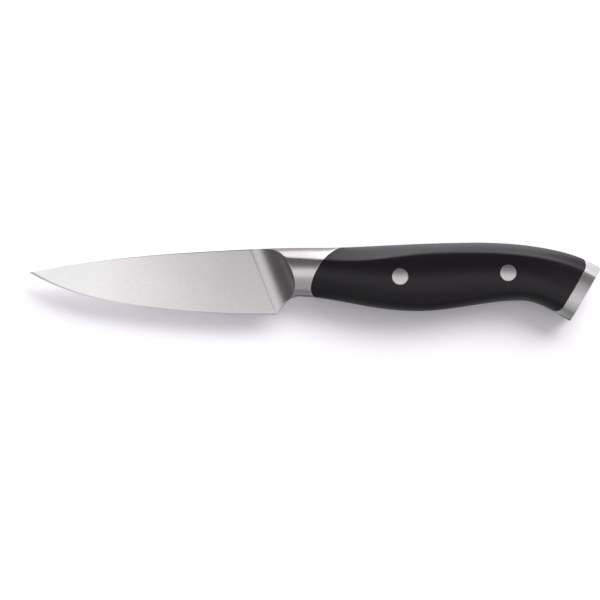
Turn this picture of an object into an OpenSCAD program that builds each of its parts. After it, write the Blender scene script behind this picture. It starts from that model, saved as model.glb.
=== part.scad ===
// Paring knife: a forged blade with a full tang, two riveted grip scales and a steel end cap
//
// The knife lies on its right side. X runs from the tip to the butt, Y from the cutting edge
// up to the spine, and Z up, out of the left side. The origin is under the middle of the
// knife, on the surface that it rests on.
//
// Every outline is laid out from the heel, which is the corner where the cutting edge ends,
// in the middle plane of the blade. place() moves each piece from there to the origin above.

/* [Blade] */
// Heel to tip
blade_len = 89.3; // [75:0.1:105]
// Height of the spine above the heel, at the bolster
blade_h = 24; // [22:0.1:26]
// Height of the tip above the heel
tip_h = 15.2; // [12:0.1:18]
// Rise of the edge above the heel, half way to the tip
edge_rise = 2.6; // [1.5:0.1:4]
// Thickness of the spine above the heel
spine_t = 2.0; // [1.5:0.05:2.3]
// Thickness of the spine at the tip
tip_t = 0.6; // [0.5:0.05:1.2]
// Thickness of the flats where they reach the heel
edge_t = 0.44; // [0.3:0.02:0.56]
// Thickness left at the very edge
apex_t = 0.04; // [0.02:0.01:0.08]
// Angle of the ground edge, on each side
edge_angle = 18; // [13:1:22]

/* [Bolster] */
// Distance of the plunge line from the heel, along the edge
plunge_inset = 0.2; // [0:0.1:1.5]
// Lean of the plunge line towards the tip, from upright
plunge_tilt = 21.5; // [14:0.5:28]
// Radius of the cove that rises from the blade to the bolster
cove_r = 12; // [11:0.1:14]
// Depth to which the cove bites below the flat of the blade
cove_bite = 0.02; // [0.01:0.01:0.05]
// Heel to the narrowest point of the neck
neck_x = 8.5; // [7.5:0.1:11]
// Height of the underside of the neck above the heel
neck_h = 6.6; // [6:0.1:8]
// Thickness of the neck
neck_t = 13.8; // [11:0.1:15]

/* [Handle] */
// Heel to the upper corner of the butt
handle_len = 116.8; // [108:0.2:130]
// Heel to the highest point of the back
back_x = 72; // [66:0.5:78]
// Height of the back above the heel, at its highest
back_h = 26; // [25:0.1:28]
// Height of the upper corner of the butt above the heel
butt_h = 16.8; // [15:0.1:19]
// Heel to the lowest point of the belly
belly_x = 51; // [44:0.5:56]
// Height of the underside above the heel, at the belly
belly_h = 1.3; // [-1:0.1:3]
// Heel to the waist in front of the butt
waist_x = 87.5; // [82:0.5:92]
// Height of the underside above the heel, at the waist
waist_h = 5.1; // [4:0.1:7]
// Waist to where the underside runs straight down to the butt
beak_len = 12.5; // [11:0.5:15]
// Drop from the waist to that point
beak_drop = 4.05; // [3:0.1:5]
// Lean of the butt face, from upright
butt_tilt = 30.6; // [24:0.2:34]
// Heel to the thickest part of the grip
thick_x = 44; // [38:1:52]
// Thickness of the grip at its thickest
grip_t = 16.5; // [15:0.1:20]
// Thickness of the grip at the waist
waist_t = 15.2; // [13:0.1:16.5]
// Thickness of the butt
butt_t = 15.8; // [13:0.1:16.5]
// Radius of the crown of the side faces, on the grip
crown_r = 20; // [16:1:60]
// Radius of the same crown at the neck
neck_crown_r = 12; // [8:0.5:16]
// Height of the crown's highest line above the middle of the neck
neck_ridge = 1.3; // [0:0.1:2]
// Depth of the same line below the middle of the butt
butt_ridge = 1.2; // [0:0.1:2]
// Height of the rounding over the side faces, at the front of the grip
upper_round = 4.9; // [4.2:0.1:5.4]
// The same at the waist
upper_round_rear = 3.75; // [3:0.05:5]
// Height of the rounding under the side faces, at the front of the grip
lower_round = 2.4; // [2:0.1:3.5]
// The same at the butt
lower_round_rear = 3.6; // [2.5:0.1:4.5]

/* [Tang and end cap] */
// Thickness of the tang
tang_t = 2.5; // [1.8:0.1:3.5]
// Thickness of the end cap, square to the butt face
cap_t = 4.8; // [4:0.1:8]
// Length of the tenon in the end cap
tenon_len = 3; // [2:0.1:3.4]
// Height of the tenon
tenon_h = 11; // [6:0.5:14]
// Clearance of the tenon in its slot
tenon_fit = 0.05; // [0.02:0.01:0.1]

/* [Grip scales] */
// Heel to the nose of the scales
scale_x = 12.2; // [11.6:0.1:15]
// Height of the nose above the underside of the neck
nose_h = 3.2; // [2.6:0.1:4.5]
// Nose to where the front of a scale reaches the back
scale_slant = 13; // [10:0.1:16]
// Radius of the upper rear corner of a scale
upper_corner_r = 4.2; // [1.5:0.1:5]
// Radius of the lower rear corner of a scale
lower_corner_r = 3.2; // [1.5:0.1:4]
// Gap between the scales and the steel round them
scale_fit = 0.02; // [0.01:0.01:0.1]

/* [Rivets] */
// Heel to the front rivet
front_rivet_x = 44.3; // [34:0.1:52]
// Its height above the middle of the grip
front_rivet_rise = 0.35; // [-0.6:0.05:1]
// Heel to the rear rivet
rear_rivet_x = 83.2; // [70:0.1:94]
// Its height above the middle of the grip
rear_rivet_rise = -0.2; // [-1:0.05:0.6]
// Diameter of the rivet heads
head_d = 6; // [5.4:0.1:8]
// Depth of a head at its middle
head_t = 2.2; // [1.6:0.1:3]
// Outer diameter of the socket half's tube
tube_d = 4; // [3.8:0.1:4.6]
// Diameter of the pin half's shank
shank_d = 3; // [2.2:0.1:3.2]
// Clearance round the heads, tubes and shanks
rivet_fit = 0.02; // [0.01:0.01:0.06]
// Clearance round the tubes in the tang
tang_hole_fit = 0.2; // [0.1:0.05:0.4]

/* [Hidden] */

steel = "#c4c3c3";
black = "#232326";

// Distance between the cross-sections of the handle
station = 2;
// Segments of each rounding and of each side face in a cross-section
round_steps = 6;
side_steps = 8;
// Half the width of the narrow strip on the back and under the belly
strip = 1;
// Tilt at which the roundings reach that strip
strip_tilt = 78;
// Segments of the back, the underside, the choil and the cutting edge in the side outline
back_steps = 96;
under_steps = 60;
choil_steps = 12;
edge_steps = 40;
// How far the handle's cross-sections stand over its side outline, which trims them
proud = 0.1;
// How far the side outline runs on behind the butt, before the butt face trims it
overrun = 8;
// Length that reaches past any outline
past = 70;
// Segments of a full circle
$fn = 72;

// A knot is [x, y, slope]. The curve between two knots is the cubic that has their slopes.
function between(a, b, x) =
  let (d = b[0] - a[0], t = (x - a[0]) / d, s = 1 - t)
  (1 + 2 * t) * s * s * a[1] + t * s * s * d * a[2]
  + (3 - 2 * t) * t * t * b[1] - t * t * s * d * b[2];
function along(knots, x, i = 0) =
  i == len(knots) - 2 || x <= knots[i + 1][0]
  ? between(knots[i], knots[i + 1], max(x, knots[0][0]))
  : along(knots, x, i + 1);
function slope(knots, x, d = 0.01) = (along(knots, x + d) - along(knots, x - d)) / 2 / d;
// Points of a curve from one x to another
function run(knots, from, to, steps) =
  [for (i = [0:steps]) let (x = from + (to - from) * i / steps) [x, along(knots, x)]];
// Point on the cubic that four control points draw
function cubic(p, t) =
  let (s = 1 - t)
  s * s * s * p[0] + 3 * s * s * t * p[1] + 3 * s * t * t * p[2] + t * t * t * p[3];
function mix(a, b, share) = a + (b - a) * share;

// Side outline: the cutting edge, the spine with the back, and the choil with the underside
tip_slope = -0.57;
edge_slope = -0.125;
edge_line = [
  [-blade_len, tip_h, tip_slope],
  [-blade_len / 2, edge_rise, edge_slope],
  [0, 0, 0]
];
back_slope = -0.62;
back_line = [
  [-blade_len, tip_h, 0.21],
  [0, blade_h, 0.046],
  [scale_x + scale_slant, blade_h + 0.3, 0.04],
  [back_x, back_h, 0],
  [mix(back_x, handle_len, 0.51), mix(back_h, butt_h, 0.19), -0.165],
  [handle_len, butt_h, back_slope],
  [handle_len + past, butt_h + past * back_slope, back_slope]
];
beak_x = waist_x + beak_len;
beak_h = waist_h - beak_drop;
under_line = [
  [0, 0, 1.62],
  [0.35 * neck_x, 0.62 * neck_h, 1.1],
  [neck_x, neck_h, -0.04],
  [mix(neck_x, belly_x, 0.49), mix(neck_h, belly_h, 0.57), -0.19],
  [belly_x, belly_h, 0],
  [waist_x, waist_h, 0],
  [beak_x, beak_h, -tan(butt_tilt)],
  [beak_x + past, beak_h - past * tan(butt_tilt), -tan(butt_tilt)]
];

// Point at q behind the butt face and p above its upper corner, measured on the face
function from_butt(q, p) = [
  handle_len + q * cos(butt_tilt) + p * sin(butt_tilt),
  butt_h - q * sin(butt_tilt) + p * cos(butt_tilt)
];
// The underside meets the butt square, this far below the upper corner
butt_len = (handle_len - beak_x) * sin(butt_tilt) + (butt_h - beak_h) * cos(butt_tilt);
butt_low = from_butt(0, -butt_len)[1];
// Frame of the whole knife
middle = [(handle_len - blade_len) / 2, (back_h + min(0, butt_low)) / 2];
lift = max(grip_t, neck_t, waist_t, butt_t) / 2;
module place() translate([-middle[0], -middle[1], lift]) children();

// Half thickness of the handle and the heights of its roundings, along the handle
half_t = [
  [-neck_x, neck_t / 2 - 0.1, 0],
  [neck_x, neck_t / 2, 0.02],
  [thick_x, grip_t / 2, 0],
  [waist_x, waist_t / 2, 0],
  [handle_len, butt_t / 2, 0.01],
  [handle_len + past, butt_t / 2, 0]
];
upper_line = [
  [-neck_x, upper_round - 2.7, 0],
  [neck_x, upper_round - 0.95, 0.03],
  [mix(neck_x, thick_x, 0.6), upper_round, 0],
  [mix(thick_x, waist_x, 0.28), upper_round_rear - 0.2, 0],
  [waist_x, upper_round_rear, 0],
  [handle_len, upper_round_rear + 0.35, 0]
];
lower_line = [
  [0, lower_round, 0],
  [thick_x, lower_round + 0.3, 0],
  [waist_x, lower_round + 0.4, 0],
  [beak_x, lower_round_rear, 0],
  [handle_len, lower_round_rear, 0]
];
crown_line = [[neck_x, neck_crown_r, 0], [thick_x, crown_r, 0], [handle_len, crown_r, 0]];
ridge_line = [
  [neck_x, neck_ridge, 0],
  [thick_x, 0.75 * neck_ridge, 0],
  [waist_x - 4, 0, -0.06],
  [handle_len, -butt_ridge, 0]
];
// Tilt at which the upper rounding leaves the side face: soft at the neck, crisp at the butt
upper_tilt = [[neck_x, 34, 0], [mix(neck_x, thick_x, 0.6), 50, 0], [handle_len, 52, 0]];
lower_tilt = 45;
// Share of a rounding's chord that its handles take
pull = 0.38;

// One half of a cross-section, from the strip under the belly up to the strip on the back.
// Under the blade its lower part falls away from the choil, and stays thicker than the cove.
choil_x = 2;
choil_fall = 2.2;
choil_half_t = 2.3;
function rounding(from, to, tilt_from, tilt_to) =
  let (
    l = pull * norm(to - from),
    p = [from, from + l * [cos(tilt_from), sin(tilt_from)], to - l * [cos(tilt_to), sin(tilt_to)], to]
  )
  [for (i = [0:round_steps]) cubic(p, i / round_steps)];
function section(x) =
  let (
    c = max(x, choil_x),
    low = along(under_line, c),
    high = along(back_line, max(x, -neck_x)),
    lower = low + along(lower_line, c),
    upper = high - along(upper_line, x),
    middle_y = (along(under_line, max(x, neck_x)) + high) / 2 + along(ridge_line, x),
    face = [for (i = [0:side_steps])
      let (y = mix(lower, upper, i / side_steps))
      [y, max(choil_half_t, along(half_t, x) - pow(y - middle_y, 2) / 2 / along(crown_line, x))]],
    under = rounding([low - proud, strip], face[0], strip_tilt, lower_tilt),
    over = rounding(face[side_steps], [high + proud, strip], -along(upper_tilt, x), -strip_tilt)
  )
  concat(
    [for (p = under) p - [choil_fall * (c - x), 0]],
    [for (i = [1:side_steps - 1]) face[i]],
    over
  );

// Solid through cross-sections from x = from to x = to, at every station between them.
// half: only the left side of the knife, from just inside the tang outwards.
module handle_blank(from, to, half = false) {
  first = floor(from / station);
  last = ceil(to / station);
  xs = [for (i = [first:last]) i * station];
  rings = [for (x = xs)
    let (left = section(x), n = len(left))
    half
    ? concat([[left[0][0], strip / 2]], left, [[left[n - 1][0], strip / 2]])
    : concat(left, [for (i = [n - 1:-1:0]) [left[i][0], -left[i][1]]])
  ];
  n = len(rings[0]);
  points = [for (i = [0:len(xs) - 1]) for (p = rings[i]) [xs[i], p[0], p[1]]];
  walls = [for (i = [0:len(xs) - 2]) for (j = [0:n - 1])
    let (a = i * n + j, b = i * n + (j + 1) % n)
    each [[a, b, b + n], [a, b + n, a + n]]
  ];
  end = (len(xs) - 1) * n;
  caps = [[for (j = [n - 1:-1:0]) j], [for (j = [0:n - 1]) end + j]];
  polyhedron(points, concat(walls, caps));
}

// Stock for the blade, which only the side outline and the grinding shape
module blade_stock() {
  translate([-blade_len - 1, -1, -spine_t])
    cube([blade_len + 1 - neck_x, along(back_line, -neck_x) + proud / 2 + 1, 2 * spine_t]);
}

// Plan view of the whole knife
module side_outline() {
  edge_step = -blade_len / edge_steps;
  difference() {
    polygon(concat(
      run(back_line, -blade_len, handle_len + overrun, back_steps),
      run(under_line, handle_len + overrun, neck_x, under_steps),
      run(under_line, neck_x, 0, choil_steps),
      run(edge_line, edge_step, edge_step * (edge_steps - 1), edge_steps - 2)
    ));
    translate([handle_len, butt_h]) rotate(-butt_tilt) translate([0, -past]) square([past, 2 * past]);
  }
}

// Rear end of the scales and the tang, with its two round corners, which start a little
// outside the side outline
corner_over = 0.15;
function arc(q, p, r, from) =
  [for (a = [from:15:from + 90]) from_butt(q + r * cos(a), p + r * sin(a))];
function rear_edge(gap) = concat(
  arc(-cap_t - gap - lower_corner_r, lower_corner_r - butt_len - corner_over, lower_corner_r, -90),
  arc(-cap_t - gap - upper_corner_r, corner_over - upper_corner_r, upper_corner_r, 0)
);
// Front end of the scales, from the back round the nose to the underside. Each stretch is a
// cubic, whose handles keep the nose upright.
nose_back = 1.9;
front_over = 0.3;
upper_steps = 12;
lower_steps = 6;
function front_edge(gap) =
  let (
    x = scale_x + gap,
    nose = [x, neck_h + nose_h],
    top_x = x + scale_slant,
    top = [top_x, along(back_line, top_x) + front_over],
    low_x = x + nose_back,
    low = [low_x, along(under_line, low_x) - front_over],
    upper = [top, top - [0.66 * scale_slant, 0.4], nose + [0, 2.9], nose],
    lower = [nose, nose - [0, 1.8], low + [-1.4, 1.2], low]
  )
  concat(
    [for (i = [0:upper_steps]) cubic(upper, i / upper_steps)],
    [for (i = [1:lower_steps]) cubic(lower, i / lower_steps)]
  );
// Behind this the slanted front of the scales has ended, and only the tang is left between them
tang_x = scale_x + scale_slant + 6;
module scale_outline() {
  intersection() {
    side_outline();
    polygon(concat(
      rear_edge(scale_fit),
      [[beak_x, past], [tang_x, past]],
      front_edge(scale_fit),
      [[scale_x + nose_back, -past], [waist_x, -past]]
    ));
  }
}
module ahead_of_cap(gap) {
  polygon(concat(
    rear_edge(gap),
    [[beak_x, past], [-blade_len - past, past], [-blade_len - past, -past], [waist_x, -past]]
  ));
}
module tenon(fit) {
  root = 1;
  translate([handle_len, butt_h]) rotate(-butt_tilt)
    translate([-cap_t - root, -(butt_len + tenon_h) / 2 - fit])
      square([root + tenon_len + fit, tenon_h + 2 * fit]);
}
module cap_outline() {
  difference() {
    side_outline();
    ahead_of_cap(0);
  }
}

// The left flat of the blade is the plane that has these slopes along X and Y
flat_up = (spine_t - edge_t) / 2 / blade_h;
flat_along = (edge_t / 2 + flat_up * tip_h - tip_t / 2) / blade_len;
lean = atan(flat_along);
rise = atan(flat_up * cos(lean));
// Cove wheel: its angle to the flat where it bites in, and its centre behind the plunge line
bite_angle = acos(1 - cove_bite / cove_r);
wheel_x = cove_r * sin(bite_angle) - plunge_inset;

// What the grinding takes off the left side of the blank: the flat, and the cove behind it
module grind() {
  translate([0, 0, edge_t / 2]) rotate([rise, -lean, 0]) rotate(plunge_tilt) {
    translate([wheel_x - 2 * past, -past, 0]) cube([2 * past, 2 * past, past / 2]);
    translate([wheel_x, past, cove_r - cove_bite]) rotate([90, 0, 0]) cylinder(r = cove_r, h = 2 * past);
  }
}

// What the sharpening takes off the left side: all that lies outside the bevel's plane, from
// below the edge up to where that plane has left the flat, and a little past both ends
module sharpen() {
  reach = spine_t / 2 / tan(edge_angle);
  over = 3;
  xs = [for (i = [0:edge_steps]) -blade_len * i / edge_steps];
  ends = [
    [over, 0, 0],
    [-blade_len - over, tip_h - tip_slope * over, tip_slope]
  ];
  line = concat(
    [ends[0]],
    [for (x = xs) [x, along(edge_line, x), slope(edge_line, x)]],
    [ends[1]]
  );
  points = [for (k = line)
    let (inward = [-k[2], 1] / norm([-k[2], 1]), p = [k[0], k[1]], a = p - inward, b = p + reach * inward)
    each [
      [a[0], a[1], apex_t / 2 - tan(edge_angle)],
      [b[0], b[1], apex_t / 2 + reach * tan(edge_angle)],
      [b[0], b[1], 2 * spine_t],
      [a[0], a[1], 2 * spine_t]
    ]
  ];
  last = len(line) - 1;
  walls = [for (i = [0:last - 1]) for (j = [0:3])
    let (a = 4 * i + j, b = 4 * i + (j + 1) % 4)
    each [[a, b, b + 4], [a, b + 4, a + 4]]
  ];
  polyhedron(points, concat(walls, [[3, 2, 1, 0], [for (j = [0:3]) 4 * last + j]]));
}

// Sizes that the rivets take from the handle: its middle height and the seat of the heads
function rivet_y(x) =
  (along(back_line, x) + along(under_line, x)) / 2
  + mix(front_rivet_rise, rear_rivet_rise, (x - front_rivet_x) / (rear_rivet_x - front_rivet_x));
function seat(x) = along(half_t, x) - head_t;
// Depth to which a tube or a shank is rooted in its own head
root = head_t / 4;
module at_rivet(x) translate([x, rivet_y(x), 0]) children();

module both_sides() {
  children();
  mirror([0, 0, 1]) children();
}

// Forging: blade, half bolster and full tang in one piece
module blade() {
  color(steel) place() difference() {
    intersection() {
      union() {
        blade_stock();
        handle_blank(-neck_x, tang_x);
        translate([scale_x + scale_slant, -past / 2, -tang_t])
          cube([handle_len - scale_x - scale_slant, 2 * past, 2 * tang_t]);
      }
      linear_extrude(2 * past, center = true) intersection() {
        side_outline();
        union() {
          ahead_of_cap(scale_fit);
          tenon(0);
        }
      }
    }
    both_sides() {
      grind();
      sharpen();
      translate([0, 0, tang_t / 2]) linear_extrude(past) polygon(concat(
        front_edge(0),
        [[scale_x + nose_back, -past], [handle_len + past, -past], [handle_len + past, past],
          [tang_x, past]]
      ));
    }
    for (x = [front_rivet_x, rear_rivet_x])
      at_rivet(x) cylinder(d = tube_d + 2 * tang_hole_fit, h = 2 * tang_t, center = true);
  }
}

// Steel cap behind the scales, slotted for the tenon of the tang
module end_cap() {
  color(steel) place() difference() {
    intersection() {
      handle_blank(waist_x, handle_len + station);
      linear_extrude(2 * past, center = true) cap_outline();
    }
    linear_extrude(tang_t + 2 * tenon_fit, center = true) tenon(tenon_fit);
  }
}

// Left grip scale, with its two stepped rivet holes
module left_scale() {
  difference() {
    intersection() {
      handle_blank(scale_x - station, handle_len, half = true);
      translate([0, 0, tang_t / 2 + scale_fit]) linear_extrude(past) scale_outline();
    }
    for (x = [front_rivet_x, rear_rivet_x]) at_rivet(x) {
      cylinder(d = tube_d + 2 * rivet_fit, h = past);
      translate([0, 0, seat(x)]) cylinder(d = head_d + 2 * rivet_fit, h = past);
    }
  }
}
module scale_left() color(black) place() left_scale();
module scale_right() color(black) place() mirror([0, 0, 1]) left_scale();

// Rivet head on the left side, ground flush with the crowned scale
module rivet_head(x) {
  intersection() {
    handle_blank(x - head_d, x + head_d, half = true);
    at_rivet(x) translate([0, 0, seat(x) + rivet_fit]) cylinder(d = head_d, h = past);
  }
}
// Socket half: head on the left, with a tube that passes through both scales and the tang
module rivet_socket(x) {
  color(steel) place() difference() {
    union() {
      rivet_head(x);
      at_rivet(x) translate([0, 0, -seat(x)]) cylinder(d = tube_d, h = 2 * seat(x) + root);
    }
    at_rivet(x) translate([0, 0, -past]) cylinder(d = shank_d + 2 * rivet_fit, h = past + seat(x) - root);
  }
}
// Pin half: head on the right, with a shank that is pressed into the tube
module rivet_pin(x) {
  color(steel) place() {
    mirror([0, 0, 1]) rivet_head(x);
    at_rivet(x) translate([0, 0, -seat(x) - root]) cylinder(d = shank_d, h = 2 * seat(x) - root);
  }
}
module front_rivet_socket() rivet_socket(front_rivet_x);
module front_rivet_pin() rivet_pin(front_rivet_x);
module rear_rivet_socket() rivet_socket(rear_rivet_x);
module rear_rivet_pin() rivet_pin(rear_rivet_x);

blade();
end_cap();
scale_left();
scale_right();
front_rivet_socket();
front_rivet_pin();
rear_rivet_socket();
rear_rivet_pin();
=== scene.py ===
from math import acos, atan, cos, radians, sin, sqrt, tan

import bmesh
import bpy
import numpy
from mathutils import Matrix, Vector


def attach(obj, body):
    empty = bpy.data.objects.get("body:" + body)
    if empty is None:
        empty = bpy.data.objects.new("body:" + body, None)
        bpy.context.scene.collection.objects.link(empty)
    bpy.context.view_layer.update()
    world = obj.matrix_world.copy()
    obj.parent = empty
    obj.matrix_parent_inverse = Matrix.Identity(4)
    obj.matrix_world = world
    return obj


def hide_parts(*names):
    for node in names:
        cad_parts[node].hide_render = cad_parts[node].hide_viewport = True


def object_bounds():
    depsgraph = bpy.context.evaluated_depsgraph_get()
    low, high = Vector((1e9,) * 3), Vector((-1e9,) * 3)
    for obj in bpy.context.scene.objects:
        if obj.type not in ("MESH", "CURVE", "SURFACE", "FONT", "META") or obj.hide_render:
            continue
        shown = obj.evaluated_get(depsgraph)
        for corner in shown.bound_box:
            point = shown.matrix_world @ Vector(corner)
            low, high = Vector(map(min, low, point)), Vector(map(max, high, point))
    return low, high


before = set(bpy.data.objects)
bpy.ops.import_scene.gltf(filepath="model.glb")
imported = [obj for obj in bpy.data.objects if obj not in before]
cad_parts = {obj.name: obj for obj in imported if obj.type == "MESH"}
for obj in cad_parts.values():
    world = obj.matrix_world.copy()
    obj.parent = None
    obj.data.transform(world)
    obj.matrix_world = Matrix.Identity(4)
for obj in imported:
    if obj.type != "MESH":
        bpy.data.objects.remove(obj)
cad_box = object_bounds()


# Forging
# Blade, half bolster and full tang are one bar of stainless knife steel, drop forged, hardened
# and ground. The flats taper to the edge and to the tip, and a grinding wheel leaves the cove
# between them and the bolster, which is ground to one surface with the handle.
MM = 0.001
BLADE_LEN = 89.3
BLADE_H = 24
HANDLE_LEN = 116.8
BACK_H = 26
middle_z = (cad_box[0].z + cad_box[1].z) / 2
HEEL = Vector((cad_box[0].x + BLADE_LEN * MM, cad_box[1].y - BACK_H * MM, middle_z))


def in_row(x, y, z):
    """The point x, y, z in millimetres from the heel and the middle plane, in the row's frame."""
    return HEEL + MM * Vector((x, y, z))


def mix(a, b, share):
    return a + (b - a) * share


def along(knots, x):
    """Height at x of a curve through knots of x, height and slope."""
    x = max(x, knots[0][0])
    i = 0
    while i < len(knots) - 2 and x > knots[i + 1][0]:
        i += 1
    (ax, ay, slope_a), (bx, by, slope_b) = knots[i], knots[i + 1]
    d = bx - ax
    t = (x - ax) / d
    s = 1 - t
    return ((1 + 2 * t) * s * s * ay + t * s * s * d * slope_a
            + (3 - 2 * t) * t * t * by - t * t * s * d * slope_b)


def cubic(p, t):
    s = 1 - t
    return s * s * s * p[0] + 3 * s * s * t * p[1] + 3 * s * t * t * p[2] + t * t * t * p[3]


HALVINGS = 32


def solve(f, low, high):
    """The value between low and high at which f, which rises, crosses zero."""
    for _ in range(HALVINGS):
        middle = (low + high) / 2
        if f(middle) < 0:
            low = middle
        else:
            high = middle
    return (low + high) / 2


# Side outline: the cutting edge, the spine with the back, and the choil with the underside
TIP_H = 15.2
NECK_X = 8.5
NECK_H = 6.6
SCALE_X = 12.2
SCALE_SLANT = 13
BACK_X = 72
BUTT_H = 16.8
BUTT_TILT = radians(30.6)
BELLY_X = 51
BELLY_H = 1.3
WAIST_X = 87.5
WAIST_H = 5.1
BEAK_X = WAIST_X + 12.5
BEAK_H = WAIST_H - 4.05
PAST = 70
EDGE = [(-BLADE_LEN, TIP_H, -0.57), (-BLADE_LEN / 2, 2.6, -0.125), (0, 0, 0)]
BACK = [
    (-BLADE_LEN, TIP_H, 0.21),
    (0, BLADE_H, 0.046),
    (SCALE_X + SCALE_SLANT, BLADE_H + 0.3, 0.04),
    (BACK_X, BACK_H, 0),
    (mix(BACK_X, HANDLE_LEN, 0.51), mix(BACK_H, BUTT_H, 0.19), -0.165),
    (HANDLE_LEN, BUTT_H, -0.62),
    (HANDLE_LEN + PAST, BUTT_H - PAST * 0.62, -0.62),
]
UNDER = [
    (0, 0, 1.62),
    (0.35 * NECK_X, 0.62 * NECK_H, 1.1),
    (NECK_X, NECK_H, -0.04),
    (mix(NECK_X, BELLY_X, 0.49), mix(NECK_H, BELLY_H, 0.57), -0.19),
    (BELLY_X, BELLY_H, 0),
    (WAIST_X, WAIST_H, 0),
    (BEAK_X, BEAK_H, -tan(BUTT_TILT)),
    (BEAK_X + PAST, BEAK_H - PAST * tan(BUTT_TILT), -tan(BUTT_TILT)),
]

# Ground form of the handle: half thickness, heights of its two roundings, and the crown of its
# side face, whose highest line lies above the middle at the neck and below it at the butt
THICK_X = 44
HALF_T = [
    (-NECK_X, 6.8, 0),
    (NECK_X, 6.9, 0.02),
    (THICK_X, 8.25, 0),
    (WAIST_X, 7.6, 0),
    (HANDLE_LEN, 7.9, 0.01),
    (HANDLE_LEN + PAST, 7.9, 0),
]
UPPER = [
    (-NECK_X, 2.2, 0),
    (NECK_X, 3.95, 0.03),
    (30, 4.9, 0),
    (56, 3.55, 0),
    (WAIST_X, 3.75, 0),
    (HANDLE_LEN, 4.1, 0),
]
LOWER = [(0, 2.4, 0), (THICK_X, 2.7, 0), (WAIST_X, 2.8, 0), (BEAK_X, 3.6, 0), (HANDLE_LEN, 3.6, 0)]
CROWN = [(NECK_X, 12, 0), (THICK_X, 20, 0), (HANDLE_LEN, 20, 0)]
RIDGE = [(NECK_X, 1.3, 0), (THICK_X, 1, 0), (84, 0, -0.06), (HANDLE_LEN, -1.2, 0)]
UPPER_TILT = [(NECK_X, 34, 0), (30, 50, 0), (HANDLE_LEN, 52, 0)]
LOWER_TILT = radians(45)
# Height above the middle plane at which the roundings meet the flat rim, and their tilts there
RIM_Z = 1.45
LOWER_RIM_TILT = radians(76)
UPPER_RIM_TILT = [(NECK_X, 76, 0), (30, 68, 0), (HANDLE_LEN, 68, 0)]
# Share of a rounding's chord that its handles take
PULL = 0.38
# Under the blade the form ends at this x, and stays thicker than the cove
CHOIL_X = 2
CHOIL_HALF = 2.3


def rounding(start, end, start_tilt, end_tilt, t):
    """Point on the rounding between two points of a cross-section, each left at its own tilt."""
    pull = PULL * (end - start).length
    leave = Vector((cos(start_tilt), sin(start_tilt)))
    arrive = Vector((cos(end_tilt), sin(end_tilt)))
    return cubic((start, start + pull * leave, end - pull * arrive, end), t)


def face_z(x, y):
    """Half thickness of the handle on its crowned side face."""
    ridge = (along(UNDER, max(x, NECK_X)) + along(BACK, x)) / 2 + along(RIDGE, x)
    return max(CHOIL_HALF, along(HALF_T, x) - (y - ridge) ** 2 / 2 / along(CROWN, x))


def stretch(x, u):
    """Cross-section of the handle at x, with the creases beside its side face left sharp."""
    c = max(x, CHOIL_X)
    low = along(UNDER, c)
    lower = low + along(LOWER, c)
    if u <= 1:
        end = Vector((lower, face_z(x, lower)))
        return rounding(Vector((low, RIM_Z)), end, LOWER_RIM_TILT, LOWER_TILT, u)
    high = along(BACK, x)
    upper = high - along(UPPER, x)
    if u >= 2:
        start = Vector((upper, face_z(x, upper)))
        leave, arrive = (-radians(along(tilt, x)) for tilt in (UPPER_TILT, UPPER_RIM_TILT))
        return rounding(start, Vector((high, RIM_Z)), leave, arrive, u - 2)
    y = mix(lower, upper, u - 1)
    return Vector((y, face_z(x, y)))


# Share of a rounding and of a side face that the softened crease between them takes
SOFT_ROUND = 0.08
SOFT_FACE = 0.035


def form(x, u):
    """Point of the ground form at x. u is 0 at the lower rim, 1 and 2 at the creases, 3 at the upper rim."""
    for crease, before, after in ((1, SOFT_ROUND, SOFT_FACE), (2, SOFT_FACE, SOFT_ROUND)):
        if crease - before < u < crease + after:
            t = (u - crease + before) / (before + after)
            a, c, b = stretch(x, crease - before), stretch(x, crease), stretch(x, crease + after)
            y, z = (1 - t) * (1 - t) * a + 2 * t * (1 - t) * c + t * t * b
            return Vector((x, y, z))
    y, z = stretch(x, u)
    return Vector((x, y, z))


# Places round the section: the roundings and the creases have closer rows than the side face
SOFT_LOW = [1 - SOFT_ROUND, 1 - SOFT_ROUND / 2, 1, 1 + SOFT_FACE / 2, 1 + SOFT_FACE]
SOFT_HIGH = [3 - u for u in reversed(SOFT_LOW)]
ROUND_ROWS = 14
FACE_ROWS = 26
ROWS = [i / ROUND_ROWS * SOFT_LOW[0] for i in range(ROUND_ROWS)]
ROWS += SOFT_LOW
ROWS += [mix(SOFT_LOW[-1], SOFT_HIGH[0], i / FACE_ROWS) for i in range(1, FACE_ROWS)]
ROWS += SOFT_HIGH
ROWS += [mix(SOFT_HIGH[-1], 3, i / ROUND_ROWS) for i in range(1, ROUND_ROWS + 1)]
LAST = len(ROWS) - 1

# Grinding: the flats, the cove that a wheel turned against them leaves, and the sharpening
SPINE_HALF = 1.0
TIP_HALF = 0.3
EDGE_HALF = 0.22
APEX_HALF = 0.02
EDGE_ANGLE = radians(18)
EDGE_REACH = 3
PLUNGE_INSET = 0.2
PLUNGE_TILT = radians(21.5)
COVE_R = 12
COVE_BITE = 0.02
# Share of the wheel's radius past which its side is taken to go straight on
WHEEL_REACH = 0.98
# The surface is found by closing in on it this many times
APPROACHES = 6
# Fine score that the wheel's corner leaves along the plunge line
SCORE_W = 0.5
SCORE_DEPTH = 0.02
flat_up = (SPINE_HALF - EDGE_HALF) / BLADE_H
flat_along = (EDGE_HALF + flat_up * TIP_H - TIP_HALF) / BLADE_LEN
lean = atan(flat_along)
wheel_turn = (Matrix.Rotation(-lean, 3, "Y") @ Matrix.Rotation(atan(flat_up * cos(lean)), 3, "X")
              @ Matrix.Rotation(PLUNGE_TILT, 3, "Z"))
wheel_x = COVE_R * sin(acos(1 - COVE_BITE / COVE_R)) - PLUNGE_INSET


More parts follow.
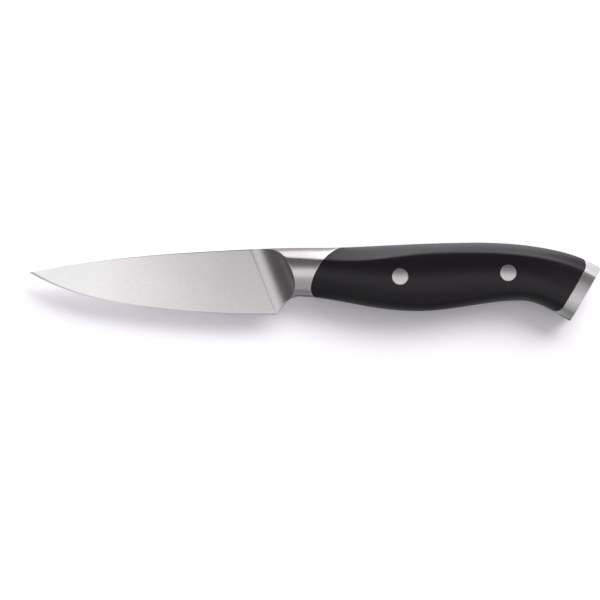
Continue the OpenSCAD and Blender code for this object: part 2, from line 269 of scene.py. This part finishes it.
def ground_z(x, y):
    """Half thickness left by the grinding of the flats and the cove."""
    z = EDGE_HALF + flat_up * y + flat_along * x
    for _ in range(APPROACHES):
        p = wheel_turn.transposed() @ Vector((x, y, z - EDGE_HALF))
        if p.x < -PLUNGE_INSET:
            depth = 0
        else:
            reach = min(abs(p.x - wheel_x), COVE_R * WHEEL_REACH)
            depth = COVE_R - COVE_BITE - sqrt(COVE_R ** 2 - reach ** 2)
            from_middle = abs(2 * (p.x + PLUNGE_INSET) / SCORE_W - 1)
            depth -= SCORE_DEPTH * max(0, 1 - from_middle)
        z -= p.z - depth
    return z


def bevel_z(x, y):
    """Half thickness left by the sharpening, which reaches a few millimetres up from the edge."""
    step = 0.01
    x = min(x, -step)
    slope = (along(EDGE, x + step) - along(EDGE, x - step)) / 2 / step
    over = (y - along(EDGE, x)) * cos(atan(slope))
    return APEX_HALF + tan(EDGE_ANGLE) * over if over < EDGE_REACH else COVE_R


def blade_z(x, y):
    return max(APEX_HALF, min(ground_z(x, y), bevel_z(x, y)))


# Front edge of the scales, as a line from their underside round the nose to the back
NOSE_H = 3.2
NOSE_BACK = 1.9
FRONT_OVER = 0.3
# How far the edge leaves its underside, its nose and its back before it turns
UNDERSIDE_PULL = Vector((-1.4, 1.2))
BELOW_NOSE_PULL = Vector((0, 1.8))
ABOVE_NOSE_PULL = Vector((0, 2.9))
BACK_PULL = Vector((0.66 * SCALE_SLANT, 0.4))
NOSE = Vector((SCALE_X, NECK_H + NOSE_H))
front_top = Vector((SCALE_X + SCALE_SLANT, along(BACK, SCALE_X + SCALE_SLANT) + FRONT_OVER))
front_low = Vector((SCALE_X + NOSE_BACK, along(UNDER, SCALE_X + NOSE_BACK) - FRONT_OVER))
lower_front = (front_low, front_low + UNDERSIDE_PULL, NOSE - BELOW_NOSE_PULL, NOSE)
upper_front = (NOSE, NOSE + ABOVE_NOSE_PULL, front_top - BACK_PULL, front_top)
FRONT_STEPS = 60
front_line = [cubic(lower_front, i / FRONT_STEPS) for i in range(FRONT_STEPS)]
front_line += [cubic(upper_front, i / FRONT_STEPS) for i in range(FRONT_STEPS + 1)]


def behind_front(x, y):
    """How far a point lies behind the front edge of the scales."""
    return x - float(numpy.interp(y, [p.y for p in front_line], [p.x for p in front_line]))


# Rear edge of the scales, which has two round corners, ahead of the end cap
CAP_T = 4.8
UPPER_CORNER_R = 4.2
LOWER_CORNER_R = 3.2
CORNER_OVER = 0.15
# Least square of the drop beside a corner, so that its root can be taken past the corner too
LEAST_SQUARE = 0.01
butt_len = (HANDLE_LEN - BEAK_X) * sin(BUTT_TILT) + (BUTT_H - BEAK_H) * cos(BUTT_TILT)


def from_butt(x, y):
    """Distance of a point behind the butt face, and above its upper corner along the face."""
    dx, dy = x - HANDLE_LEN, y - BUTT_H
    return dx * cos(BUTT_TILT) - dy * sin(BUTT_TILT), dx * sin(BUTT_TILT) + dy * cos(BUTT_TILT)


def behind_scales(x, y):
    """How far a point lies behind the rear edge of the scales."""
    q, p = from_butt(x, y)
    r = UPPER_CORNER_R if p > -butt_len / 2 else LOWER_CORNER_R
    over = max(p - (CORNER_OVER - r), (r - butt_len - CORNER_OVER) - p, 0)
    return q + CAP_T + r - sqrt(max(r ** 2 - over ** 2, LEAST_SQUARE))


# Where each row meets the two edges of the scales and the rim of the cove, found between limits
FRONT_LIMITS = (4, 30)
REAR_LIMITS = (85, 118)
COVE_LIMITS = (-8, 9)
front = [solve(lambda x: behind_front(*form(x, u).xy), *FRONT_LIMITS) for u in ROWS]
rear = [solve(lambda x: behind_scales(*form(x, u).xy), *REAR_LIMITS) for u in ROWS]
cove = [solve(lambda x: ground_z(x, form(x, u).y) - form(x, u).z, *COVE_LIMITS) for u in ROWS]

# The left side is one grid, in columns of the blade, the cove, the bolster and the tang
BLADE_COLUMNS = 170
COVE_COLUMNS = 60
CLOSER = 1.4
NECK_COLUMNS = 30
TANG_COLUMNS = 60
BEVEL_ROWS = 2
PLUNGE_LIMITS = (20, 25)
TANG_HALF = 1.25


def on_plunge(y):
    return Vector((-PLUNGE_INSET - tan(PLUNGE_TILT) * y, y))


plunge_top = solve(lambda y: y - along(BACK, on_plunge(y).x), *PLUNGE_LIMITS)


def blade_column(share):
    """Column of the blade from the edge to the spine. share is 0 at the tip and 1 at the plunge line."""
    low_x = mix(-BLADE_LEN, -PLUNGE_INSET, share)
    high_x = mix(-BLADE_LEN, on_plunge(plunge_top).x, share)
    low = Vector((low_x, along(EDGE, low_x)))
    high = Vector((high_x, along(BACK, high_x)))
    height = max((high - low).length, 0.01)
    bevel_top = min(1, (ground_z(*low) - APEX_HALF) / tan(EDGE_ANGLE) / height)
    points = []
    for i in range(LAST + 1):
        if i <= BEVEL_ROWS:
            p = low.lerp(high, bevel_top * i / BEVEL_ROWS)
        else:
            p = low.lerp(high, mix(bevel_top, 1, (i - BEVEL_ROWS) / (LAST - BEVEL_ROWS)))
        points.append((p.x, p.y, blade_z(*p)))
    return points


plunge = [Vector(p[:2]) for p in blade_column(1)]
# The choil is broken with a stone, to this radius
CHOIL_R = 0.5


def broken(x, y, share):
    """How much the broken edge of the choil takes off the cove. share is 1 where the bolster begins."""
    r = CHOIL_R * min(1, 4 - 4 * share, max(0, x))
    inside = max(0, y - along(UNDER, x))
    return r - sqrt(r * r - (r - inside) ** 2) if inside < r else 0


def cove_column(j):
    """Column of the cove. j is 0 on the plunge line, 1 at the heel and last where the bolster begins."""
    share = (j / COVE_COLUMNS) ** CLOSER
    choil_x = cove[0] * (max(j - 1, 0) / (COVE_COLUMNS - 1)) ** CLOSER
    bottom = Vector((choil_x, along(UNDER, choil_x))) if j else plunge[0]
    ends = [Vector((cove[i], form(cove[i], ROWS[i]).y)) for i in (0, LAST)]
    top_x = mix(plunge[LAST].x, ends[1].x, share)
    top = Vector((top_x, along(BACK, top_x)))
    points = []
    for i in range(LAST + 1):
        v = i / LAST
        p = plunge[i].lerp(Vector(form(cove[i], ROWS[i]).xy), share)
        p += (1 - v) ** 3 * (bottom - plunge[0].lerp(ends[0], share))
        p += v ** 3 * (top - plunge[LAST].lerp(ends[1], share))
        points.append((p.x, p.y, max(APEX_HALF, blade_z(*p) - broken(*p, share))))
    return points


def tang_column(share):
    """Column of the tang's flat side, between the scales. share is 0 at their front edge."""
    points = []
    for i in range(LAST + 1):
        start = form(front[i], ROWS[i])
        low = along(UNDER, start.x)
        up = (start.y - low) / (along(BACK, start.x) - low)
        end_x = solve(lambda x: behind_scales(x, mix(along(UNDER, x), along(BACK, x), up)), *REAR_LIMITS)
        x = mix(start.x, end_x, share)
        points.append((x, mix(along(UNDER, x), along(BACK, x), up), TANG_HALF))
    return points


# Points that lie closer than this are one
MERGE = 0.002


def sheet(columns):
    """A grid of faces through columns of points, which run from one rim of the left side to the other."""
    bm = bmesh.new()
    wide, tall = len(columns) - 1, len(columns[0]) - 1
    bmesh.ops.create_grid(bm, x_segments=wide, y_segments=tall, size=1)
    for v in bm.verts:
        column, row = round((v.co.x + 1) / 2 * wide), round((v.co.y + 1) / 2 * tall)
        v.co = in_row(*columns[column][row])
    bmesh.ops.remove_doubles(bm, verts=bm.verts, dist=MERGE * MM)
    bmesh.ops.dissolve_degenerate(bm, edges=bm.edges, dist=MERGE * MM)
    return bm


def wall(bm, z):
    """Draws the open edge of a sheet straight to one height."""
    rim = [e for e in bm.edges if e.is_boundary]
    new = bmesh.ops.extrude_edge_only(bm, edges=rim)["geom"]
    for v in new:
        if isinstance(v, bmesh.types.BMVert):
            v.co.z = HEEL.z + z * MM


def mirrored(bm):
    """Adds the right side to a left one that is open at the middle plane."""
    bmesh.ops.translate(bm, verts=bm.verts, vec=-HEEL)
    bmesh.ops.mirror(bm, geom=bm.verts[:] + bm.edges[:] + bm.faces[:], merge_dist=MERGE * MM, axis="Z")
    bmesh.ops.translate(bm, verts=bm.verts, vec=HEEL)
    bmesh.ops.recalc_face_normals(bm, faces=bm.faces)


SHARP_ANGLE = radians(28)


def soften(bm, width, least_z=0):
    """Rounds the sharp outer edges that lie more than least_z from the middle plane."""
    bm.normal_update()
    sharp = [e for e in bm.edges if e.is_manifold and e.is_convex and e.calc_face_angle() > SHARP_ANGLE
             and all(abs(v.co.z - HEEL.z) > least_z * MM for v in e.verts)]
    bmesh.ops.bevel(bm, geom=sharp, offset=width * MM, offset_type="OFFSET", segments=2, profile=0.5,
                    affect="EDGES", material=-1, clamp_overlap=True)


def combine(bm, other, operation):
    """Joins another closed mesh to this one, or cuts it out of this one."""
    pair = []
    for part in (bm, other):
        mesh = bpy.data.meshes.new("part")
        part.to_mesh(mesh)
        part.free()
        pair.append(bpy.data.objects.new("part", mesh))
        bpy.context.scene.collection.objects.link(pair[-1])
    join = pair[0].modifiers.new("join", "BOOLEAN")
    join.operation = operation
    join.solver = "EXACT"
    join.object = pair[1]
    whole = pair[0].evaluated_get(bpy.context.evaluated_depsgraph_get())
    result = bmesh.new()
    result.from_mesh(whole.to_mesh())
    whole.to_mesh_clear()
    for obj in pair:
        bpy.data.meshes.remove(obj.data)
    return result


# The rivets' places along the handle, and their heights above its middle
RIVETS = {"front": (44.3, 0.35), "rear": (83.2, -0.2)}
TURN_STEPS = 96


def turned(profile, x, rise):
    """Spins a profile of radius and height round a rivet's axis."""
    bm = bmesh.new()
    chain = [bm.verts.new((r * MM, 0, z * MM)) for r, z in profile]
    edges = [bm.edges.new(pair) for pair in zip(chain, chain[1:])]
    bmesh.ops.spin(bm, geom=chain + edges, cent=(0, 0, 0), axis=(0, 0, 1), angle=radians(360),
                   steps=TURN_STEPS, use_merge=True)
    bmesh.ops.remove_doubles(bm, verts=bm.verts, dist=MERGE * MM)
    middle_y = (along(BACK, x) + along(UNDER, x)) / 2
    bmesh.ops.translate(bm, verts=bm.verts, vec=in_row(x, middle_y + rise, 0))
    bmesh.ops.recalc_face_normals(bm, faces=bm.faces)
    return bm


def block(size, q, p):
    """A box whose middle lies q behind the butt face and p above its upper corner, turned with it."""
    bm = bmesh.new()
    bmesh.ops.create_cube(bm, size=1)
    bmesh.ops.scale(bm, verts=bm.verts, vec=Vector(size) * MM)
    bmesh.ops.rotate(bm, verts=bm.verts, cent=(0, 0, 0), matrix=Matrix.Rotation(-BUTT_TILT, 3, "Z"))
    x = HANDLE_LEN + q * cos(BUTT_TILT) + p * sin(BUTT_TILT)
    y = BUTT_H - q * sin(BUTT_TILT) + p * cos(BUTT_TILT)
    bmesh.ops.translate(bm, verts=bm.verts, vec=in_row(x, y, 0))
    return bm


def form_columns(starts, ends, count):
    """Columns on the ground form, which share out the way from one edge to another."""
    return [[form(mix(starts[i], ends[i], j / count), ROWS[i]) for i in range(LAST + 1)]
            for j in range(count + 1)]


columns = [blade_column(i / BLADE_COLUMNS) for i in range(BLADE_COLUMNS)]
columns += [cove_column(j) for j in range(COVE_COLUMNS)]
columns += form_columns(cove, front, NECK_COLUMNS)
columns += [tang_column(j / TANG_COLUMNS) for j in range(TANG_COLUMNS + 1)]
forging = sheet(columns)
wall(forging, 0)
mirrored(forging)
# Width to which the edges are broken by hand. The cutting edge, within KEEN_Z of the middle, stays.
FORGING_SOFT = 0.2
KEEN_Z = 0.3
soften(forging, FORGING_SOFT, KEEN_Z)
TUBE_R = 2
TANG_HOLE_FIT = 0.2
TANG_HOLE_Z = 3
for place in RIVETS.values():
    r = TUBE_R + TANG_HOLE_FIT
    hole = turned([(0, TANG_HOLE_Z), (r, TANG_HOLE_Z), (r, -TANG_HOLE_Z), (0, -TANG_HOLE_Z)], *place)
    forging = combine(forging, hole, "DIFFERENCE")
TENON_LEN = 3
TENON_H = 11
TENON_ROOT = 1
tenon = block((TENON_LEN + TENON_ROOT, TENON_H, 2 * TANG_HALF),
              (TENON_LEN - TENON_ROOT) / 2 - CAP_T, -butt_len / 2)
forging = combine(forging, tenon, "UNION")


def linear(code):
    """An sRGB hex colour as the linear colour that a shader socket takes."""
    parts = [int(code[i:i + 2], 16) / 255 for i in (1, 3, 5)]
    return [c / 12.92 if c <= 0.04045 else ((c + 0.055) / 1.055) ** 2.4 for c in parts] + [1]


def add(tree, kind, links=None, **settings):
    """Adds a node, sets its inputs and properties, and links its inputs to other nodes' outputs."""
    node = tree.nodes.new("ShaderNode" + kind)
    for key, value in settings.items():
        name = key.replace("_", " ")
        if name in node.inputs:
            node.inputs[name].default_value = value
        else:
            setattr(node, key, value)
    for key, output in (links or {}).items():
        tree.links.new(output, node.inputs[key])
    return node


def new_material(name):
    material = bpy.data.materials.new(name)
    material.use_nodes = True
    material.node_tree.nodes.clear()
    return material, material.node_tree


# Limits between which the noise of the grain is read
GRAIN_LIMITS = {"From_Min": 0.3, "From_Max": 0.7}
# Clouds in the finish vary the roughness too: their width, and their share beside the grain
CLOUD_W = 12
CLOUD_SHARE = 0.35
# By which share the roughness varies, and how deep the lines are
ROUGH_SPREAD = 0.1
LINE_DEPTH = 0.002
# Painted reflection on the blade: the steel's colour fades lighter between these distances from the heel, in
# place of the brighter reflection towards the tip
PAINTED_REFLECTION_FROM = -8
PAINTED_REFLECTION_TO = -75


def ground_steel(name, tone, roughness, grit, length, turn, depth, streak, painted_tip_reflection=None):
    """Stainless steel with grinding lines, whose usual width and length are grit and length. They make
    it satin, because they spread what it mirrors. The real ones are too fine to show, so these are about
    a pixel wide. depth is the share of their bump that is used, and streak how much lighter or darker a
    line is. painted_tip_reflection is a painted reflection: the lighter colour that the steel fades to
    towards the blade's tip, in place of the brighter reflection there."""
    material, tree = new_material(name)
    place = add(tree, "TexCoord").outputs["Object"]
    turned_place = add(tree, "Mapping", {"Vector": place}, Rotation=turn)
    lines = add(tree, "Mapping", {"Vector": turned_place.outputs[0]},
                Scale=(1 / length / MM, 1 / grit / MM, 1 / grit / MM))
    grain = add(tree, "TexNoise", {"Vector": lines.outputs[0]}, Scale=1, Detail=3, Roughness=0.6)
    cloud = add(tree, "TexNoise", {"Vector": place}, Scale=1 / CLOUD_W / MM, Detail=2)
    both = add(tree, "Mix", {"A": grain.outputs["Fac"], "B": cloud.outputs["Fac"]}, Factor=CLOUD_SHARE)
    rough = add(tree, "MapRange", {"Value": both.outputs[0]}, To_Min=roughness * (1 - ROUGH_SPREAD),
                To_Max=roughness * (1 + ROUGH_SPREAD), **GRAIN_LIMITS)
    bump = add(tree, "Bump", {"Height": grain.outputs["Fac"]}, Strength=depth, Distance=LINE_DEPTH * MM)
    streaks = add(tree, "MapRange", {"Value": grain.outputs["Fac"]}, To_Min=1 - streak, To_Max=1 + streak,
                  **GRAIN_LIMITS)
    colour = add(tree, "VectorMath", {1: streaks.outputs[0]}, operation="MULTIPLY")
    colour.inputs[0].default_value = linear(tone)[:3]
    # Painted reflection: the colour fades to a lighter one towards the tip, standing in for the brighter
    # reflection there.
    if painted_tip_reflection:
        length_on = add(tree, "SeparateXYZ", {"Vector": place})
        share = add(tree, "MapRange", {"Value": length_on.outputs["X"]}, interpolation_type="SMOOTHSTEP",
                    From_Min=in_row(PAINTED_REFLECTION_FROM, 0, 0).x, From_Max=in_row(PAINTED_REFLECTION_TO, 0, 0).x)
        shade = add(tree, "Mix", {"Factor": share.outputs[0]}, data_type="RGBA")
        shade.inputs["A"].default_value = linear(tone)
        shade.inputs["B"].default_value = linear(painted_tip_reflection)
        tree.links.new(shade.outputs["Result"], colour.inputs[0])
    steel = add(tree, "BsdfPrincipled", {"Base Color": colour.outputs[0], "Roughness": rough.outputs[0],
                                         "Normal": bump.outputs[0]}, Metallic=1)
    add(tree, "OutputMaterial", {"Surface": steel.outputs[0]})
    return material


CREASE_ANGLE = radians(40)


def piece(bm, name, slot, material, *nodes):
    """Makes the finished mesh an object, shaded smooth, that stands for CAD nodes."""
    mesh = bpy.data.meshes.new(name)
    bm.to_mesh(mesh)
    bm.free()
    mesh.shade_smooth()
    mesh.set_sharp_from_angle(angle=CREASE_ANGLE)
    mesh.materials.append(material)
    obj = bpy.data.objects.new(name, mesh)
    bpy.context.scene.collection.objects.link(obj)
    weighted = obj.modifiers.new("weighted normals", "WEIGHTED_NORMAL")
    weighted.keep_sharp = True
    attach(obj, "root")
    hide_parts(*nodes)


# The blade's colour is painted lighter towards the tip, as a painted reflection.
blade_steel = ground_steel("satin ground stainless", "#d9d4d6", 0.3, 0.4, 1.2, (0, 0, 0), 0.03, 0.06,
                           painted_tip_reflection="#fffdfd")
piece(forging, "forging", "blade_steel", blade_steel, "blade")


# Grip scales
# Two slabs of black acetal, pressed against the tang and ground flush with the steel round
# them. Each has two stepped holes for its rivets, which are drilled straight through.
SCALE_FIT = 0.02
SCALE_COLUMNS = 190
SCALE_SOFT = 0.1
HEAD_R = 3
HEAD_T = 2.2
RIVET_FIT = 0.02
# Height to which the holes are cut, which is clear of the handle
DRILL_Z = 10


def seat(x):
    """Height of the step in a rivet's hole, above the middle plane."""
    return along(HALF_T, x) - HEAD_T


def left_scale():
    bm = sheet(form_columns([x + SCALE_FIT for x in front], [x - SCALE_FIT for x in rear], SCALE_COLUMNS))
    wall(bm, TANG_HALF + SCALE_FIT)
    bmesh.ops.contextual_create(bm, geom=[e for e in bm.edges if e.is_boundary])
    bmesh.ops.recalc_face_normals(bm, faces=bm.faces)
    soften(bm, SCALE_SOFT, TANG_HALF + SCALE_SOFT)
    for x, rise in RIVETS.values():
        tube, head, step = TUBE_R + RIVET_FIT, HEAD_R + RIVET_FIT, seat(x)
        hole = turned([(0, DRILL_Z), (head, DRILL_Z), (head, step), (tube, step), (tube, 0), (0, 0)],
                      x, rise)
        bm = combine(bm, hole, "DIFFERENCE")
    return bm


BELT_GRIT = 0.35
GRIT_DEPTH = 0.01


def acetal():
    """Black acetal, dyed through. A fine belt leaves it satin, so it mirrors the room only softly. The
    marks are drawn as wide as a pixel, because the real ones are too fine to show."""
    material, tree = new_material("black acetal")
    place = add(tree, "TexCoord").outputs["Object"]
    fine = add(tree, "TexNoise", {"Vector": place}, Scale=1 / BELT_GRIT / MM, Detail=3)
    bump = add(tree, "Bump", {"Height": fine.outputs["Fac"]}, Strength=0.15, Distance=GRIT_DEPTH * MM)
    rough = add(tree, "MapRange", {"Value": fine.outputs["Fac"]}, To_Min=0.32, To_Max=0.4)
    plastic = add(tree, "BsdfPrincipled", {"Roughness": rough.outputs[0], "Normal": bump.outputs[0]},
                  Base_Color=linear("#100a11"), IOR=1.43)
    add(tree, "OutputMaterial", {"Surface": plastic.outputs[0]})
    return material


black = acetal()
for side in ("left", "right"):
    bm = left_scale()
    if side == "right":
        bmesh.ops.scale(bm, verts=bm.verts, vec=(1, 1, -1), space=Matrix.Translation(-HEEL))
        bmesh.ops.recalc_face_normals(bm, faces=bm.faces)
    piece(bm, "grip_scale_" + side, "grip_polymer", black, "scale_" + side)


# Cutlery rivets
# Each is a stainless tube with a head, and a solid pin with a head that is pressed into it.
# The heads are ground down with the scales until they lie flush.
HEAD_ROOT = HEAD_T / 4
SHANK_R = 1.5
RIM = 0.12
HEAD_RINGS = [0, 0.5, 1, 1.5, 2, 2.4, 2.7, HEAD_R - RIM]


def crowned(bm, x):
    """Gives the flat top of a head the crown of the side face."""
    top = along(HALF_T, x)
    for v in bm.verts:
        p = (v.co - HEEL) / MM
        if p.z > top - 1.5 * RIM:
            v.co.z += (face_z(p.x, p.y) - top) * MM


rivet_steel = ground_steel("belt ground rivet steel", "#d0ccce", 0.3, 0.3, 8, (0, 0, radians(90)),
                           0.03, 0.04)
for place_name, (x, rise) in RIVETS.items():
    step, top = seat(x) + RIVET_FIT, along(HALF_T, x)
    head = [(r, top) for r in HEAD_RINGS] + [(HEAD_R, top - RIM), (HEAD_R, step)]
    bore = SHANK_R + RIVET_FIT
    root = seat(x) - HEAD_ROOT
    tube = [(TUBE_R, step), (TUBE_R, -seat(x)), (bore, -seat(x)), (bore, root), (0, root)]
    socket = turned(head + tube, x, rise)
    crowned(socket, x)
    node = place_name + "_rivet_socket"
    piece(socket, node + "_turned", "rivet_steel", rivet_steel, node)
    end = 2 * HEAD_ROOT - seat(x)
    pin = turned(head + [(SHANK_R, step), (SHANK_R, end), (0, end)], x, rise)
    crowned(pin, x)
    bmesh.ops.scale(pin, verts=pin.verts, vec=(1, 1, -1), space=Matrix.Translation(-HEEL))
    bmesh.ops.recalc_face_normals(pin, faces=pin.faces)
    node = place_name + "_rivet_pin"
    piece(pin, node + "_turned", "rivet_steel", rivet_steel, node)


# End cap
# A block of the same stainless steel, slotted over the tang's tenon, welded and ground with
# the handle. Its butt face is cut off straight.
CAP_COLUMNS = 26
CAP_SOFT = 0.12
TENON_FIT = 0.05
BUTT_LIMITS = (95, 122)
butt = [solve(lambda x: from_butt(*form(x, u).xy)[0], *BUTT_LIMITS) for u in ROWS]
cap = sheet(form_columns(rear, butt, CAP_COLUMNS))
wall(cap, 0)
mirrored(cap)
soften(cap, CAP_SOFT)
slot = block((TENON_LEN + TENON_ROOT + TENON_FIT, TENON_H + 2 * TENON_FIT, 2 * (TANG_HALF + TENON_FIT)),
             (TENON_LEN - TENON_ROOT + TENON_FIT) / 2 - CAP_T, -butt_len / 2)
cap = combine(cap, slot, "DIFFERENCE")
cap_steel = ground_steel("belt ground cap steel", "#d2cfd1", 0.34, 0.3, 8, (0, 0, radians(60)),
                         0.03, 0.03)
piece(cap, "end_cap_block", "cap_steel", cap_steel, "end_cap")


# Floor
# A plain white sheet under the knife. The camera and mirror-like surfaces see it lighter than
# it lights the knife, and it keeps the knife's shadow.
FLOOR_R = 6
PAPER_SEEN = (1.1, 1.09, 1.12, 1)
PAPER_LIT = (0.75, 0.75, 0.76, 1)
bm = bmesh.new()
bmesh.ops.create_circle(bm, cap_ends=True, segments=96, radius=FLOOR_R)
floor_mesh = bpy.data.meshes.new("floor")
bm.to_mesh(floor_mesh)
bm.free()
floor = bpy.data.objects.new("floor", floor_mesh)
bpy.context.scene.collection.objects.link(floor)


def seen_and_lit(tree, seen, lit):
    """One colour for what the camera, mirrors and glass see, and another for the light it gives off."""
    path = add(tree, "LightPath")
    mirror = add(tree, "Math", {0: path.outputs["Is Camera Ray"], 1: path.outputs["Is Glossy Ray"]},
                 operation="MAXIMUM")
    either = add(tree, "Math", {0: mirror.outputs[0], 1: path.outputs["Is Transmission Ray"]},
                 operation="MAXIMUM")
    shade = add(tree, "Mix", {"Factor": either.outputs[0]}, data_type="RGBA")
    shade.inputs["A"].default_value = lit
    shade.inputs["B"].default_value = seen
    return shade.outputs["Result"]


paper, tree = new_material("white paper")
matt = add(tree, "BsdfDiffuse", {"Color": seen_and_lit(tree, PAPER_SEEN, PAPER_LIT)})
add(tree, "OutputMaterial", {"Surface": matt.outputs[0]})
floor.data.materials.append(paper)


# Light
# Two soft boxes behind the spine throw the shadow towards the edge, and a pale room fills in. Cards
# that only mirror-like surfaces see give the steel its dark and light bands, as in a studio.
ROOM_SEEN = (1.05, 1.05, 1.05, 1)
ROOM_LIT = (0.505, 0.49, 0.515, 1)
world = bpy.data.worlds.new("studio")
bpy.context.scene.world = world
world.use_nodes = True
tree = world.node_tree
tree.nodes.clear()
sky = add(tree, "Background", {"Color": seen_and_lit(tree, ROOM_SEEN, ROOM_LIT)})
add(tree, "OutputWorld", {"Surface": sky.outputs[0]})


def soft_box(name, place, width, height, power):
    lamp = bpy.data.lights.new(name, "AREA")
    lamp.shape = "RECTANGLE"
    lamp.size = width
    lamp.size_y = height
    lamp.energy = power
    obj = bpy.data.objects.new(name, lamp)
    obj.location = place
    obj.rotation_euler = (-Vector(place)).to_track_quat("-Z", "Y").to_euler()
    obj.visible_glossy = False
    bpy.context.scene.collection.objects.link(obj)


def card(name, level, *corners):
    """A card with four corners, which only mirror-like surfaces see."""
    bm = bmesh.new()
    bm.faces.new([bm.verts.new(c) for c in corners])
    mesh = bpy.data.meshes.new(name)
    bm.to_mesh(mesh)
    bm.free()
    obj = bpy.data.objects.new(name, mesh)
    bpy.context.scene.collection.objects.link(obj)
    obj.visible_camera = False
    obj.visible_diffuse = False
    obj.visible_shadow = False
    obj.visible_transmission = False
    material, tree = new_material(name)
    glow = add(tree, "Emission", Color=(level, level, level, 1))
    add(tree, "OutputMaterial", {"Surface": glow.outputs[0]})
    obj.data.materials.append(material)


def level_card(name, level, z, *corners):
    """A card that lies level at the height z, with its corners as x and y."""
    card(name, level, *[(x, y, z) for x, y in corners])


def floor_card(name, level, x, y):
    """A card on the floor, between two limits of x and two of y."""
    level_card(name, level, FLAT, (x[0], y[0]), (x[1], y[0]), (x[1], y[1]), (x[0], y[1]))


def long_card(name, level, y, x, z):
    """A card that stands along the knife at y, between two limits of x and two of z."""
    card(name, level, (x[0], y, z[0]), (x[1], y, z[0]), (x[1], y, z[1]), (x[0], y, z[1]))


def end_card(name, level, x, y, z):
    """A card that stands across the knife at x, between two limits of y and two of z."""
    card(name, level, (x, y[0], z[0]), (x, y[1], z[0]), (x, y[1], z[1]), (x, y[0], z[1]))


# How far the cards reach, how high the lowest ones lie, and the height of the two over the knife
REACH = 0.6
BACK_REACH = 0.9
FLAT = 0.001
OVER = 0.3
# The cards before the knife change where the scales begin
FRONT_EDGE_X = -0.001
soft_box("key", (0.6, 0.96, 0.9), 1.6, 0.8, 24)
soft_box("low light behind the spine", (-0.6, 1.3, 0.17), 1.2, 0.24, 7)
level_card("dark card behind the camera, over the blade", 0.08, OVER, (-REACH, 0.45), (-0.014, 0),
           (-0.014, 0.5), (-REACH, 0.5))
level_card("dark card behind the camera, over the handle", 0.08, OVER, (-0.014, 0), (REACH, 0.012),
           (REACH, 0.5), (-0.014, 0.5))
end_card("dark card before the tip", 0.09, -REACH, (-REACH, REACH), (FLAT, 1.1))
level_card("dark card on the floor before the tip", 0.07, FLAT, (-REACH, -0.3), (-0.12, -0.03),
           (-0.12, 0.03), (-REACH, 0.3))
long_card("grey card before the edge", 0.43, -REACH, (-REACH, REACH), (0.2, 1.15))
long_card("dark card before the edge", 0.2, -REACH, (-REACH, REACH), (FLAT, 0.2))
floor_card("dark card far on the floor before the handle", 0.2, (FRONT_EDGE_X, REACH), (-REACH, -0.06))
floor_card("light card far on the floor before the neck", 0.55, (-REACH, FRONT_EDGE_X), (-REACH, -0.06))
floor_card("dark card on the floor before the neck", 0.12, (-REACH, FRONT_EDGE_X), (-0.06, -0.018))
floor_card("dark card on the floor close to the neck", 0.1, (-REACH, FRONT_EDGE_X), (-0.018, -0.008))
floor_card("grey card on the floor before the handle", 0.45, (FRONT_EDGE_X, 0.085), (-0.06, -0.014))
floor_card("dark card on the floor before the butt", 0.12, (0.085, REACH), (-0.06, -0.01))
long_card("light card behind the spine", 1.35, BACK_REACH, (-REACH, REACH), (FLAT, 0.45))
floor_card("grey card on the floor behind the neck", 0.5, (-0.03, 0.01), (0.012, 0.045))
floor_card("light card on the floor behind the blade", 1.0, (-REACH, 0.01), (0.045, BACK_REACH))
long_card("light card low behind the front of the handle", 3.2, 0.06, (0.007, 0.035), (0.008, 0.03))
level_card("light card on the floor behind the handle", 2.5, FLAT, (0.01, 0.024), (0.1, 0.024),
           (0.53, BACK_REACH), (0.01, BACK_REACH))
level_card("light card on the floor behind the butt", 1.1, FLAT, (0.1, 0.01), (REACH, 0.01),
           (REACH, BACK_REACH), (0.53, BACK_REACH))
level_card("light card over the butt", 0.6, 0.06, (0.09, -0.003), (0.125, -0.003), (0.125, 0.024),
           (0.09, 0.024))
end_card("grey card high before the tip", 0.75, -REACH, (-BACK_REACH, BACK_REACH), (1.1, 3))


# Camera
# It looks straight down on the left side of the knife, through a long lens, as the photograph does.
# The photograph's width and middle are in millimetres, in the row's frame.
PHOTO_W = 216.84
PHOTO_X = -5.44
PHOTO_Y = -6.57
CAMERA_H = 3.0
VIEW_END = 20
lens = bpy.data.cameras.new("camera")
lens.lens = lens.sensor_width * CAMERA_H / (PHOTO_W * MM)
lens.clip_end = VIEW_END
camera = bpy.data.objects.new("camera", lens)
camera.location = (PHOTO_X * MM, PHOTO_Y * MM, CAMERA_H)
bpy.context.scene.collection.objects.link(camera)
bpy.context.scene.camera = camera
bpy.context.scene.view_settings.view_transform = "Standard"
